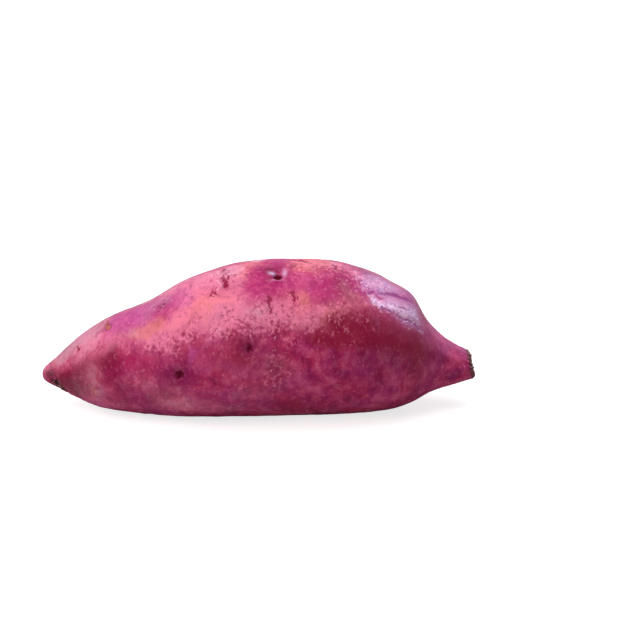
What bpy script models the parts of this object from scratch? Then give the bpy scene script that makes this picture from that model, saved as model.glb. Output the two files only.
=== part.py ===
# Sweet potato: the whole storage root of a purple-skinned kind with pale flesh, lying on its belly.
# Metres, +Z up. X runs from the thin root tip to the stem end, and -Y is the front.
# The origin is on the table, under the middle of the root's bounding box.

import bisect
import math
import random

import bmesh
import bpy
from mathutils import Vector, noise

# Driving dimensions
LENGTH = 0.193
TIP_NOSE = 0.0035  # length over which the root tip rounds off
STEM_CORNER = 0.0014  # rounding round the edge of the broken stem end
STEM_DISH = 0.0009  # how deep the broken stem end is sunk in its middle
STEM_SLANT = 0.22  # how far the break leans back, as a slope, because the stem snapped off aslant
SLANT_FROM = 0.176  # where the lean starts to fade in
SIDES = 72  # faces round the root
ROW_SPACING = 0.0029  # between rings of faces along the body

# The root at its stations: along, radius, height of the centre, centre away from the front.
STATIONS = (
    (0.0000, 0.0038, 0.0152, 0.0045),
    (0.0040, 0.0048, 0.0157, 0.0038),
    (0.0085, 0.0080, 0.0169, 0.0030),
    (0.0175, 0.0142, 0.0191, 0.0015),
    (0.0270, 0.0191, 0.0210, 0.0000),
    (0.0362, 0.0221, 0.0228, -0.0012),
    (0.0500, 0.0254, 0.0254, -0.0025),
    (0.0680, 0.0309, 0.0303, -0.0034),
    (0.0900, 0.0341, 0.0336, -0.0030),
    (0.1130, 0.0344, 0.0340, -0.0010),
    (0.1310, 0.0337, 0.0332, 0.0003),
    (0.1470, 0.0311, 0.0312, 0.0014),
    (0.1580, 0.0274, 0.0286, 0.0022),
    (0.1660, 0.0224, 0.0261, 0.0028),
    (0.1715, 0.0172, 0.0237, 0.0031),
    (0.1770, 0.0133, 0.0219, 0.0034),
    (0.1840, 0.0096, 0.0204, 0.0040),
    (0.1930, 0.0062, 0.0192, 0.0050),
)

# Uneven growth: two scales of swelling, each a share of the radius, and their size along and round the root
SWELLS = (
    # share of the radius, length of a swell, offset that picks the pattern
    (0.022, 0.055, 3.1),
    (0.008, 0.019, 8.4),
)

# Shallow lengthwise furrows between the rows of root scars
FURROWS = 5
FURROW_DEPTH = 0.00035
FURROW_START = 52.0  # degrees round from the top towards the front
FURROW_TWIST = 28.0  # degrees that the rows turn from tip to stem end

# Dents in the front and top: along, degrees from the top towards the front, reach along, reach round, depth
DENTS = (
    (0.0650, 94.0, 0.0046, 0.0040, 0.00130),  # the deepest root scar, low on the front
    (0.0941, 77.8, 0.0036, 0.0042, 0.00090),  # its neighbour up the row
    (0.0583, 31.0, 0.0036, 0.0030, 0.00060),
    (0.0800, 24.0, 0.0042, 0.0055, 0.00065),
    (0.1042, 50.0, 0.0020, 0.0080, 0.00045),  # a short crease below the eye
    (0.1132, 38.0, 0.0016, 0.0060, 0.00025),
    (0.1550, 22.5, 0.0090, 0.0021, 0.00070),  # a long crease on the stem shoulder
    (0.0317, 19.2, 0.0020, 0.0018, 0.00045),
    (0.1320, 68.0, 0.0085, 0.0075, 0.00070),
    (0.1270, 5.0, 0.0055, 0.0090, 0.00050),  # the saddle between the eye and the stem shoulder
)

# The eye near the crest: a pit with a raised lip, in a wide hollow
EYE = (0.1062, 19.1)
EYE_REACH = 0.0023
EYE_DEPTH = 0.0016
EYE_HOLLOW_REACH = 0.0075
EYE_HOLLOW_DEPTH = 0.0009
EYE_LIP_AT = 0.0042
EYE_LIP_WIDTH = 0.0013
EYE_LIP_HEIGHT = 0.00035

# Root scars on the hidden back and underside, in the furrows, by a seeded draw
BACK_SCARS_PER_ROW = 4
BACK_SCARS_FROM = 0.028
BACK_SCARS_TO = 0.160
BACK_FROM_DEGREES = 150.0
BACK_TO_DEGREES = 330.0
BACK_SCAR_REACH = (0.0024, 0.0048)
BACK_SCAR_DEPTH = (0.0004, 0.0011)
SEED = 7

SKIN_COLOUR = (0.42, 0.055, 0.16, 1.0)
SKIN_ROUGHNESS = 0.42


def clear_scene():
    for thing in list(bpy.data.objects):
        bpy.data.objects.remove(thing, do_unlink=True)


def station_values(along):
    """(radius, height, sideways) at a distance along the root, on a smooth curve through the stations."""
    places = [station[0] for station in STATIONS]
    first = min(max(bisect.bisect_right(places, along) - 1, 0), len(STATIONS) - 2)
    span = places[first + 1] - places[first]
    share = (along - places[first]) / span

    def slope(index, column):
        before, after = max(index - 1, 0), min(index + 1, len(STATIONS) - 1)
        rise = STATIONS[after][column] - STATIONS[before][column]
        return rise / (places[after] - places[before])

    values = []
    for column in (1, 2, 3):
        start, end = STATIONS[first][column], STATIONS[first + 1][column]
        leave, arrive = slope(first, column) * span, slope(first + 1, column) * span
        cubic = 2 * start - 2 * end + leave + arrive
        square = 3 * end - 3 * start - 2 * leave - arrive
        values.append(((cubic * share + square) * share + leave) * share + start)
    return values


def profile():
    """(along, radius) of each ring of points, from the root tip round to the middle of the stem end."""
    rings = [(0.0, 0.0)]
    for turn in (22, 46, 68):
        along = TIP_NOSE * (1 - math.cos(math.radians(turn)))
        rings.append((along, station_values(along)[0] * math.sin(math.radians(turn))))
    body_end = LENGTH - STEM_CORNER
    steps = round((body_end - TIP_NOSE) / ROW_SPACING)
    for step in range(steps + 1):
        along = TIP_NOSE + (body_end - TIP_NOSE) * step / steps
        rings.append((along, station_values(along)[0]))
    end_radius = station_values(LENGTH)[0]
    for turn in (45, 90):
        along = body_end + STEM_CORNER * math.sin(math.radians(turn))
        rings.append((along, end_radius - STEM_CORNER * (1 - math.cos(math.radians(turn)))))
    rings.append((LENGTH - STEM_DISH * 0.7, end_radius * 0.35))
    rings.append((LENGTH - STEM_DISH, 0.0))
    return rings


def wrapped(degrees):
    return (degrees + 180.0) % 360.0 - 180.0


def back_scars():
    """Dents in the hidden half, spread along the furrows."""
    draw = random.Random(SEED)
    scars = []
    for row in range(FURROWS):
        for place in range(BACK_SCARS_PER_ROW):
            step = (BACK_SCARS_TO - BACK_SCARS_FROM) / BACK_SCARS_PER_ROW
            along = BACK_SCARS_FROM + step * (place + draw.uniform(0.1, 0.9))
            degrees = furrow_degrees(row, along) + draw.uniform(-7.0, 7.0)
            reach = draw.uniform(*BACK_SCAR_REACH)
            scar = (along, degrees, reach, reach * draw.uniform(0.8, 1.3), draw.uniform(*BACK_SCAR_DEPTH))
            if BACK_FROM_DEGREES < degrees % 360.0 < BACK_TO_DEGREES:
                scars.append(scar)
    return scars


def furrow_degrees(row, along):
    return FURROW_START + 360.0 * row / FURROWS + FURROW_TWIST * along / LENGTH


def dent_depth(dent, along, degrees, radius):
    place, direction, reach_along, reach_round, depth = dent
    far_along = (along - place) / reach_along
    far_round = math.radians(wrapped(degrees - direction)) * radius / reach_round
    return depth * math.exp(-far_along * far_along - far_round * far_round)


def eye_relief(along, degrees, radius):
    far = math.hypot(along - EYE[0], math.radians(wrapped(degrees - EYE[1])) * radius)
    hollow = EYE_HOLLOW_DEPTH * math.exp(-((far / EYE_HOLLOW_REACH) ** 2))
    pit = EYE_DEPTH * math.exp(-((far / EYE_REACH) ** 2))
    lip = EYE_LIP_HEIGHT * math.exp(-(((far - EYE_LIP_AT) / EYE_LIP_WIDTH) ** 2))
    return lip - pit - hollow


def relief(along, degrees, radius, scars):
    """How far the skin stands out of the plain round form, in metres."""
    turn = math.radians(degrees)
    out = 0.0
    for share, size, offset in SWELLS:
        spot = Vector((along, radius * math.cos(turn), radius * math.sin(turn))) / size
        out += share * radius * noise.noise(spot + Vector((offset, offset, offset)))
    fade = min(1.0, radius / 0.02)
    for row in range(FURROWS):
        away = wrapped(degrees - furrow_degrees(row, along)) / 12.0
        out -= fade * FURROW_DEPTH * math.exp(-away * away)
    for dent in scars:
        out -= dent_depth(dent, along, degrees, radius)
    return out + eye_relief(along, degrees, radius)


def lathe(rings):
    """The plain form: the profile turned round the X axis."""
    mesh = bmesh.new()
    points = [mesh.verts.new((along, 0.0, radius)) for along, radius in rings]
    edges = [mesh.edges.new(pair) for pair in zip(points, points[1:])]
    bmesh.ops.spin(
        mesh,
        geom=points + edges,
        cent=(0.0, 0.0, 0.0),
        axis=(1.0, 0.0, 0.0),
        angle=math.tau,
        steps=SIDES,
        use_merge=True,
    )
    bmesh.ops.remove_doubles(mesh, verts=mesh.verts, dist=1e-6)
    return mesh


def grow(mesh):
    """Turns the plain form into the root: relief, the bend of its centre line, and the belly pressed flat."""
    scars = list(DENTS) + back_scars()
    for point in mesh.verts:
        along = point.co.x
        radius = math.hypot(point.co.y, point.co.z)
        _, height, sideways = station_values(along)
        if radius > 0.0:
            degrees = math.degrees(math.atan2(-point.co.y, point.co.z))
            swollen = 1.0 + relief(along, degrees, radius, scars) / radius
        else:
            swollen = 1.0
        lean = STEM_SLANT * max(0.0, along - SLANT_FROM) / (LENGTH - SLANT_FROM)
        point.co.x -= lean * point.co.z
        point.co.y = sideways + point.co.y * swollen
        point.co.z = max(0.0, height + point.co.z * swollen)


def centre_on_origin(mesh):
    low = Vector([min(point.co[axis] for point in mesh.verts) for axis in range(3)])
    high = Vector([max(point.co[axis] for point in mesh.verts) for axis in range(3)])
    middle = Vector(((low.x + high.x) / 2, (low.y + high.y) / 2, low.z))
    bmesh.ops.translate(mesh, verts=mesh.verts, vec=-middle)
    print("root", [round(side, 4) for side in high - low], "middle", [round(v, 4) for v in middle])


def skin_material():
    material = bpy.data.materials.new("skin")
    material.use_nodes = True
    shader = material.node_tree.nodes["Principled BSDF"]
    shader.inputs["Base Color"].default_value = SKIN_COLOUR
    shader.inputs["Roughness"].default_value = SKIN_ROUGHNESS
    shader.inputs["Metallic"].default_value = 0.0
    return material


def build():
    clear_scene()
    mesh = lathe(profile())
    grow(mesh)
    centre_on_origin(mesh)
    bmesh.ops.recalc_face_normals(mesh, faces=mesh.faces)
    data = bpy.data.meshes.new("sweet_potato")
    mesh.to_mesh(data)
    mesh.free()
    data.shade_smooth()
    data.materials.append(skin_material())
    root = bpy.data.objects.new("sweet_potato", data)
    bpy.context.scene.collection.objects.link(root)


build()
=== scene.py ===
# %% [markdown]
# # A whole sweet potato, lying on its belly
#
# This lesson dresses one storage root. Its solid already exists as a plain closed mesh at its real size.
# Here it gets what makes it look alive: the relief of the skin, its pigments, scars and wax, and the soft
# light of a packshot.
#
# Lengths on the root are in millimetres, and one constant turns them to Blender's metres.

# %% Tools and the fixed frame
import math
import random

import bmesh
import bpy
import numpy as np
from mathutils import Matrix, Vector, noise


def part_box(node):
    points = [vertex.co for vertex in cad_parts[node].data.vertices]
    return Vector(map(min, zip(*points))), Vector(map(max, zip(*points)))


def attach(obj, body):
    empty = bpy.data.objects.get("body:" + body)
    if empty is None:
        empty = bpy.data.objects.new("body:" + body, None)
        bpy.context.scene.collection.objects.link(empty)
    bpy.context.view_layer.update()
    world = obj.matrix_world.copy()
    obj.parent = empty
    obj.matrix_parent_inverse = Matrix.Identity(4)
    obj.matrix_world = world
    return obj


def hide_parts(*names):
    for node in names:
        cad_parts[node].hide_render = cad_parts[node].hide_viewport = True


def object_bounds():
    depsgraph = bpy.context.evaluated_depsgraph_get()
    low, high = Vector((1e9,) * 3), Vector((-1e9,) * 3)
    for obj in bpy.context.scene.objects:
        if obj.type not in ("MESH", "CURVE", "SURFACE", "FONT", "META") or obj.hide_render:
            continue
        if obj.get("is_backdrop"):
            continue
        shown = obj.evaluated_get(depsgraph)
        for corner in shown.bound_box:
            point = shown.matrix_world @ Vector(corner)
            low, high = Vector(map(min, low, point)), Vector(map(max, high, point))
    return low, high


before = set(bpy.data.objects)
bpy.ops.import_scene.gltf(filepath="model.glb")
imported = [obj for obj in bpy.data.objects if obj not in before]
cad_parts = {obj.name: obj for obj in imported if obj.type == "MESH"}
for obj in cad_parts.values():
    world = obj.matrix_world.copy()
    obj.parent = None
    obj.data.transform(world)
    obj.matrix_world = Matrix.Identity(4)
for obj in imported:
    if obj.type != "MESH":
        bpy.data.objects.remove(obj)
cad_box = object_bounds()
MM = 0.001
root_low, root_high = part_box("sweet_potato")
LENGTH = (root_high.x - root_low.x) / MM
print("root", [round(side / MM, 1) for side in root_high - root_low], "mm")

# %% [markdown]
# ## The camera
#
# The camera comes first, because how coarse a detail may be depends on how large it is in the picture. A
# packshot is taken from a little above with a long lens, which keeps the root's real proportions. The tip
# and the floor line are placed by where they fall in the picture, and the camera is aimed, not shifted.

# %% Camera
IMAGE_SIDE = 640  # pixels
PIXEL = 0.44 * MM  # size of a pixel at the root
ELEVATION = math.radians(17)
LENS = 85.0
SENSOR = 36.0
TIP_COLUMN = 42  # pixel column of the root tip
FLOOR_ROW = 411  # pixel row of the floor under the root's middle line
TIP_RETREAT = 2.3 * MM  # how much nearer the centre the tip is drawn, because it is further away

distance = IMAGE_SIDE * PIXEL * LENS / SENSOR
aim = Vector((
    root_low.x + (IMAGE_SIDE / 2 - TIP_COLUMN) * PIXEL + TIP_RETREAT,
    0.0,
    (FLOOR_ROW - IMAGE_SIDE / 2) * PIXEL / math.cos(ELEVATION),
))
camera_data = bpy.data.cameras.new("camera")
camera_data.lens = LENS
camera_data.sensor_width = SENSOR
camera = bpy.data.objects.new("camera", camera_data)
camera.location = aim - distance * Vector((0.0, math.cos(ELEVATION), -math.sin(ELEVATION)))
camera.rotation_euler = (math.pi / 2 - ELEVATION, 0.0, 0.0)
bpy.context.scene.collection.objects.link(camera)
bpy.context.scene.camera = camera
bpy.context.scene.view_settings.view_transform = "Standard"
print("camera", round(distance, 3), "m from", [round(v, 3) for v in aim])

# %% [markdown]
# ## From plain solid to a skin that can hold detail
#
# The solid is a shell of about ten thousand loose triangles. A copy is merged and its triangles are
# paired back into quads, which a Subdivision Surface rounds far more evenly. Two rounds give a point
# every 0.7 mm or so, finer than most of the relief. The modifier is then turned into plain mesh, so that
# code can move every point.

# %% A fine copy of the solid
MERGE = 0.001 * MM
PAIR_ANGLE = math.radians(40)
ROUNDS = 2


def fine_copy(node, name):
    """A copy of a node's mesh as merged quads, subdivided."""
    shape = bmesh.new()
    shape.from_mesh(node.data)
    bmesh.ops.remove_doubles(shape, verts=shape.verts, dist=MERGE)
    bmesh.ops.join_triangles(
        shape, faces=shape.faces, angle_face_threshold=PAIR_ANGLE, angle_shape_threshold=PAIR_ANGLE
    )
    coarse = bpy.data.meshes.new(name + "_coarse")
    shape.to_mesh(coarse)
    shape.free()
    guide = bpy.data.objects.new(name, coarse)
    bpy.context.scene.collection.objects.link(guide)
    smooth = guide.modifiers.new("round", "SUBSURF")
    smooth.levels = ROUNDS
    smooth.render_levels = ROUNDS
    evaluated = guide.evaluated_get(bpy.context.evaluated_depsgraph_get())
    mesh = bpy.data.meshes.new_from_object(evaluated)
    mesh.name = name
    guide.modifiers.clear()
    guide.data = mesh
    bpy.data.meshes.remove(coarse)
    return guide


skin = fine_copy(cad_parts["sweet_potato"], "sweet_potato_skin")
print("skin", len(skin.data.vertices), "points", len(skin.data.polygons), "faces")

# %% [markdown]
# ## Along and round
#
# Everything on a root is placed by two numbers: how far along it is from the tip, and how far round it is
# from the top towards the front. The second one needs the root's centre line, which is curved and is
# measured by slicing the mesh.

# %% Coordinates that follow the root
SLICE = 4.0  # millimetres


def measure(mesh):
    """Every point in millimetres, then its distance along, its direction round and its radius."""
    points = np.empty(len(mesh.vertices) * 3)
    mesh.vertices.foreach_get("co", points)
    points = points.reshape(-1, 3) / MM
    along = points[:, 0] - points[:, 0].min()
    slices = np.linspace(0.0, LENGTH, round(LENGTH / SLICE))
    middles = []
    for place in slices:
        ring = points[np.abs(along - place) < SLICE]
        middles.append((ring.min(axis=0) + ring.max(axis=0)) / 2)
    middles = np.array(middles)
    forward = np.interp(along, slices, middles[:, 1]) - points[:, 1]
    upward = points[:, 2] - np.interp(along, slices, middles[:, 2])
    return points, along, np.degrees(np.arctan2(forward, upward)), np.hypot(forward, upward)


points, along, round_degrees, radius = measure(skin.data)
print("radius up to", round(radius.max(), 1), "mm")

# %% [markdown]
# A blob is a soft patch round a mark. A cloud is smooth noise, because nothing that grows is even.

# %% Blobs and clouds


def steps_from(place, degrees):
    """Signed millimetres along and round the skin from a mark to every point."""
    turn = (round_degrees - degrees + 180.0) % 360.0 - 180.0
    return along - place, np.radians(turn) * radius


def fall_off(off_along, off_round, reach_along, reach_round, tilt=0.0):
    """1 where both steps are nothing, and falling to nothing away from there. Tilt is in degrees."""
    cos, sin = math.cos(math.radians(tilt)), math.sin(math.radians(tilt))
    across = (off_along * cos + off_round * sin) / reach_along
    up = (off_round * cos - off_along * sin) / reach_round
    return np.exp(-(across**2) - up**2)


def blob(place, degrees, reach_along, reach_round, tilt=0.0):
    """A soft round patch at a mark."""
    return fall_off(*steps_from(place, degrees), reach_along, reach_round, tilt)


def cloud(size, seed, squeeze_along=1.0):
    """Smooth noise from -1 to 1 at every point, with clouds of about a size in millimetres."""
    shift = Vector((seed * 7.3, seed * 3.1, seed * 5.7))
    stretch = np.array((1.0 / squeeze_along, 1.0, 1.0)) / size
    return np.array([noise.noise(Vector(point) + shift) for point in points * stretch])


def held(values):
    """Values kept between 0 and 1."""
    return np.clip(values, 0.0, 1.0)


# %% [markdown]
# A few marks are too small for this mesh, such as the eye and the torn stem end. The faces there are cut
# into four, and everything is measured again.

# %% A finer mesh at the small marks
# places of marks: along in millimetres, and degrees round
EYE = (106.5, 22.8)
DIMPLES = ((65.2, 97.5), (95.0, 80.5))
TEAR_SCAR = (32.1, 20.0)
TIP_SCAR = (7.6, 121.0)
FINE_REACH = 4.6  # how far round a mark the mesh is finer; half of that at the stem end
FINE_CUTS = 1  # cuts in each edge

fine = along > LENGTH - FINE_REACH / 2
for mark in (EYE, *DIMPLES, TEAR_SCAR, TIP_SCAR):
    off_along, off_round = steps_from(*mark)
    fine |= np.hypot(off_along, off_round) < FINE_REACH
shape = bmesh.new()
shape.from_mesh(skin.data)
cut = [edge for edge in shape.edges if all(fine[point.index] for point in edge.verts)]
bmesh.ops.subdivide_edges(shape, edges=cut, cuts=FINE_CUTS, use_grid_fill=True)
shape.to_mesh(skin.data)
shape.free()
points, along, round_degrees, radius = measure(skin.data)
print("now", len(skin.data.vertices), "points and", len(skin.data.polygons), "faces")

# %% [markdown]
# ## Relief
#
# The solid has the big dents. The skin adds what a fingertip would find. First come a gentle unevenness,
# wrinkles that run round the root and crowd towards its ends, and pleats where it narrows. The stem
# shoulder also stands fuller, to catch the light as broadly as the real one.
#
# A sculpting brush would do this too, but a formula can be changed later. Each form is a height in
# millimetres. They are added up before any point moves, so that they all stand on the same smooth
# surface.

# %% Unevenness and wrinkles
UNEVENNESS = (
    # height and size of the swellings, and the seed of their pattern
    (0.22, 15.0, 1),
    (0.12, 6.0, 2),
    (0.05, 2.4, 3),
)
WRINKLE = 0.05  # height in the middle of the root
END_WRINKLE = 0.10  # added at its ends
WRINKLED_END = 45.0  # how far in from an end the wrinkles get higher
PLEATS = 11
PLEAT = 0.16  # height
PLEATED_TIP = 30.0
PLEATED_STEM = 28.0
SHOULDER = (164.0, -8.0)
SHOULDER_REACH = (5.4, 17.0)  # along and round
SHOULDER_HEIGHT = 1.8

height = sum(high * cloud(size, seed) for high, size, seed in UNEVENNESS)
from_stem = LENGTH - along
ends = held(1.0 - np.minimum(along, from_stem) / WRINKLED_END)
wrinkle = 1.0 - np.abs(cloud(9.0, 4, squeeze_along=0.16)) * 3.0
height += (WRINKLE + END_WRINKLE * ends) * np.clip(wrinkle, -1.0, 1.0) * held(cloud(22.0, 5) + 0.6)
pull = held(1.0 - along / PLEATED_TIP) + held(1.0 - from_stem / PLEATED_STEM)
pleats = np.cos(np.radians(round_degrees) * PLEATS + 2.5 * cloud(20.0, 6))
height += PLEAT * pull * pleats * held(radius / 8.0)
height += SHOULDER_HEIGHT * blob(*SHOULDER, *SHOULDER_REACH)
print("unevenness", round(height.min(), 2), "to", round(height.max(), 2), "mm")

# %% [markdown]
# ### Root scars
#
# A root scar is where a side root broke off: a pit with a slightly raised rim, often wider round the root
# than along it. Its core and a halo round it get painted shade, the more the deeper the pit. Scars in view
# are listed one by one. Those on the hidden side are drawn by a seeded lot, so that they come out the same
# each time.

# %% Root scars
SCARS = (
    # along, degrees round, half width, depth
    (*DIMPLES[0], 1.9, 1.2),
    (*DIMPLES[1], 1.6, 0.9),
    (56.5, 24.0, 1.8, 0.22),
    (27.0, 112.0, 1.0, 0.08),
)
HIDDEN_SCARS = 13
HIDDEN_ROWS = (168.0, 232.0, 300.0, -20.0)  # degrees round
ROW_WANDER = 12.0  # degrees
SCAR_WIDTHS = (0.9, 1.8)
SCAR_DEPTHS = (0.3, 0.9)
SCARS_FROM = 24.0
SCARLESS = 55.0  # length without scars, at both ends together
SEED = 11
OVAL = 1.15  # how much wider a scar is round the root than along it
RIM = 0.25  # height of the rim as a share of the depth
DARK_DEPTH = 0.6  # a scar this deep or deeper is fully dark

draw = random.Random(SEED)
hidden = []
for index in range(HIDDEN_SCARS):
    row = draw.choice(HIDDEN_ROWS)
    place = SCARS_FROM + (LENGTH - SCARLESS) * (index + draw.random()) / HIDDEN_SCARS
    degrees = row + draw.uniform(-ROW_WANDER, ROW_WANDER)
    hidden.append((place, degrees, draw.uniform(*SCAR_WIDTHS), draw.uniform(*SCAR_DEPTHS)))

scar_core = np.zeros(len(points))
scar_halo = np.zeros(len(points))
for place, degrees, half_width, depth in SCARS + tuple(hidden):
    core = blob(place, degrees, half_width, half_width * OVAL)
    halo = blob(place - 0.4 * half_width, degrees - 2.0, half_width * 3.4, half_width * 3.2)
    height += RIM * depth * (halo - core) - depth * core
    dark = blob(place, degrees, half_width * 0.8, half_width * OVAL)
    scar_core = np.maximum(scar_core, dark * min(1.0, depth / DARK_DEPTH))
    scar_halo = np.maximum(scar_halo, halo * min(1.0, depth / DARK_DEPTH))
print(len(SCARS), "scars in view and", len(hidden), "hidden")

# %% [markdown]
# ### Folds and gashes
#
# The skin folds softly where the shoulder grew too fast for it, and it split in short gashes that healed
# dark. A groove is a chain of blobs close to each other, which is simpler than a true curve and as smooth
# at this size.

# %% Folds and gashes
FOLDS = (
    # half width and depth, then the marks that the groove runs through
    (1.00, 0.55, (149.5, 29), (152, 26.5), (154, 22.5), (157, 19.5), (160, 17.8), (162.5, 15), (165.5, 13.5)),
    (0.50, 0.20, (144.5, 33), (147, 30), (148, 27)),
    (0.70, 0.30, (157, 44), (161, 45.5), (164, 43.5), (167, 46)),
    (0.50, 0.20, (150, 43.5), (153, 42.5), (156, 44)),
    (0.40, 0.20, (158, 35), (160, 32.5), (162.5, 31.5)),
)
GASHES = (
    (0.85, 0.30, (102.8, 41), (103.6, 44.5), (102.9, 47)),
    (0.75, 0.25, (83.2, 19), (84.2, 23), (84, 27), (85.4, 31)),
    (0.60, 0.15, (83, 1), (83.4, 5), (83, 9)),
    (0.50, 0.25, (103.4, 48), (104, 51), (103.7, 55.5)),
    (0.70, 0.20, (113.4, 37), (113, 41), (113.8, 46)),
    (0.60, 0.40, (130, -1), (131.5, 4), (131, 9), (133, 13)),
    (1.00, 0.40, (112.5, -9), (115, -5), (117, -4), (118.5, 0)),
    (0.40, 0.12, (18.3, 33), (18.8, 38), (19.3, 46)),
)
GROOVE_STEPS = 6  # from one mark to the next
GROOVE_WIDTH = 1.4  # reach of a blob as a share of the half width


def groove(marks, half_width):
    """A narrow groove through a row of marks: 1 along its line, falling to nothing beside it."""
    depth = np.zeros(len(points))
    reach = half_width * GROOVE_WIDTH
    legs = len(marks) - 1
    steps = np.linspace(0, legs, legs * GROOVE_STEPS + 1)
    places = np.interp(steps, range(len(marks)), [mark[0] for mark in marks])
    turns = np.interp(steps, range(len(marks)), [mark[1] for mark in marks])
    for step, place, degrees in zip(steps, places, turns):
        fade = math.sin(math.pi * (0.15 + 0.7 * step / legs))
        depth = np.maximum(depth, fade * blob(place, degrees, reach, reach))
    return depth


folded = np.zeros(len(points))
gashed = np.zeros(len(points))
for kind, mask in ((FOLDS, folded), (GASHES, gashed)):
    for half_width, depth, *marks in kind:
        line = groove(marks, half_width)
        height -= depth * line
        mask[:] = np.maximum(mask, line)
print(len(FOLDS), "folds and", len(GASHES), "gashes")

# %% [markdown]
# ### The eye
#
# The eye is a bud scar near the crest: a hole with steep walls and a raised lip, which gets a painted
# highlight. The fourth power in its fall-off gives the steep walls. A plain blob would give a soft dent.

# %% The eye
HOLE = 1.65  # radius
HOLE_DEPTH = 2.2
LIP = 2.7  # radius
LIP_WIDTH = 0.8
LIP_HEIGHT = 0.4
EYE_LEAN = 0.12  # as a slope
EYE_OVAL = 1.2

eye_along, eye_round = steps_from(*EYE)
eye_far = np.hypot(eye_along, (eye_round - EYE_LEAN * eye_along) / EYE_OVAL)
eye_hole = np.exp(-((eye_far / HOLE) ** 4))
eye_lip = np.exp(-(((eye_far - LIP) / LIP_WIDTH) ** 2))
height += LIP_HEIGHT * eye_lip - HOLE_DEPTH * eye_hole
print("eye", round(float(eye_hole.max()), 2), "of its depth")

# %% [markdown]
# ### The ends
#
# The tip keeps a crusty black scar where the thin root dried off. The stem end snapped aslant, so its
# face is torn fibre round a paler pith.

# %% The ends
TIP_CRUSTS = (
    # steps from the tip scar along and in degrees, reach along and round
    (0.4, 0.0, 1.6, 2.2),
    (-1.8, 6.0, 1.0, 1.4),
    (-2.6, -30.0, 0.8, 1.0),
    (2.4, 8.0, 1.5, 1.8),
    (1.5, 26.0, 2.8, 2.6),
)
STEM_SLANT = 0.22  # how far the break leans back, as a slope
BREAK = 2.0  # how far down the side the break reaches
FIBRES = 17  # round the stem end
FIBRE = 0.22  # height
ROUGHNESS = 0.45  # height of the torn lumps
PITH = 4.6  # radius

tip_crust = np.zeros(len(points))
for step_along, step_degrees, reach_along, reach_round in TIP_CRUSTS:
    spot = blob(TIP_SCAR[0] + step_along, TIP_SCAR[1] + step_degrees, reach_along, reach_round)
    tip_crust = np.maximum(tip_crust, spot)
height += tip_crust * (0.5 * cloud(1.3, 7) - 0.1)

square_on = along + STEM_SLANT * radius * np.cos(np.radians(round_degrees))
end_face = held((square_on - (square_on.max() - BREAK)) / 0.7)
fibres = np.cos(np.radians(round_degrees) * FIBRES + 3.0 * cloud(2.5, 8)) * held(radius / 3.0)
height += end_face * (FIBRE * fibres + ROUGHNESS * cloud(1.3, 9))
pith = end_face * held((PITH - radius) / 1.4)
print("torn end", int((end_face > 0).sum()), "points")

# %% [markdown]
# ### Healed nicks
#
# Where the cork of an old nick has healed it stands as a bare tan spot in a dark rim, a little below the
# skin. One of them is shaped like a tear, so it is made of two blobs.

# %% Healed nicks
NICKS = (
    # along, degrees round, half width along, half width round
    (TEAR_SCAR[0] - 0.5, TEAR_SCAR[1] - 4.0, 1.00, 3.0),
    (TEAR_SCAR[0] + 0.4, TEAR_SCAR[1] + 3.5, 1.90, 2.6),
)
HIDDEN_NICKS = 2
NICK_DEPTH = 0.35
NICK_HEALED = 0.2  # how far the middle has grown back

nicks = list(NICKS)
for index in range(HIDDEN_NICKS):
    half_width = draw.uniform(0.9, 1.6)
    nicks.append((draw.uniform(30.0, 160.0), draw.uniform(160.0, 320.0), half_width, half_width * 1.8))
nicked = np.maximum.reduce([blob(*nick) for nick in nicks])
height -= NICK_DEPTH * held(nicked * 1.4) - NICK_HEALED * held(nicked * 2.5 - 1.2)
print(len(nicks), "healed nicks")

# %% [markdown]
# ### All heights at once
#
# Now each point moves along its own normal. The relief fades out where the root meets the floor, so that
# the belly stays flat and nothing sinks under it.

# %% Move the points
BELLY = 1.5  # height over the floor at which the relief is at its full

normals = np.empty(len(skin.data.vertices) * 3)
skin.data.vertices.foreach_get("normal", normals)
normals = normals.reshape(-1, 3)
height *= held(points[:, 2] / BELLY)
moved = points + normals * height[:, None]
moved[:, 2] = np.maximum(moved[:, 2], 0.0)
skin.data.vertices.foreach_set("co", (moved * MM).ravel())
skin.data.shade_smooth()
skin.data.update()
print("relief", round(float(height.min()), 2), "to", round(float(height.max()), 2), "mm")

# %% [markdown]
# ## Pigments
#
# The magenta of the skin isn't one colour. Where it was rubbed it is salmon, some of it is violet, and
# old bruises are crimson or nearly black. An image painted by hand could hold that. Here each pigment is
# an attribute on the mesh instead: a number from 0 to 1 at every point, made of wavering patches. They
# are kept apart so that the material can give each its own colour and grain, and break its edges up more
# finely than the mesh could.
#
# The hidden side gets patches of the same sizes from the seeded lot.

# %% Tools for patches
HIDDEN_FROM, HIDDEN_TO = 150.0, 330.0  # degrees round
HIDDEN_REACHES = (5.0, 11.0)
HIDDEN_SHAPES = (0.4, 0.9)  # reach round the root as a share of the reach along it
HIDDEN_TILTS = (-15, 15)
HIDDEN_STRENGTHS = (0.35, 0.8)
PATCHES_FROM = 12.0
PATCHLESS = 30.0  # length without hidden patches, at both ends together

masks = {}
warp_along = 4.0 * cloud(11.0, 20) + 1.6 * cloud(4.0, 22)
warp_round = 4.0 * cloud(11.0, 21) + 1.6 * cloud(4.0, 23)


def wavering(place, degrees, reach_along, reach_round, strength, tilt=0.0):
    """A patch with a wavering outline, whose middle stays where it was put."""
    off_along, off_round = steps_from(place, degrees)
    middle = np.argmin(np.hypot(off_along, off_round))
    off_along = off_along + warp_along - warp_along[middle]
    off_round = off_round + warp_round - warp_round[middle]
    return strength * fall_off(off_along, off_round, reach_along, reach_round, tilt)


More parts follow.
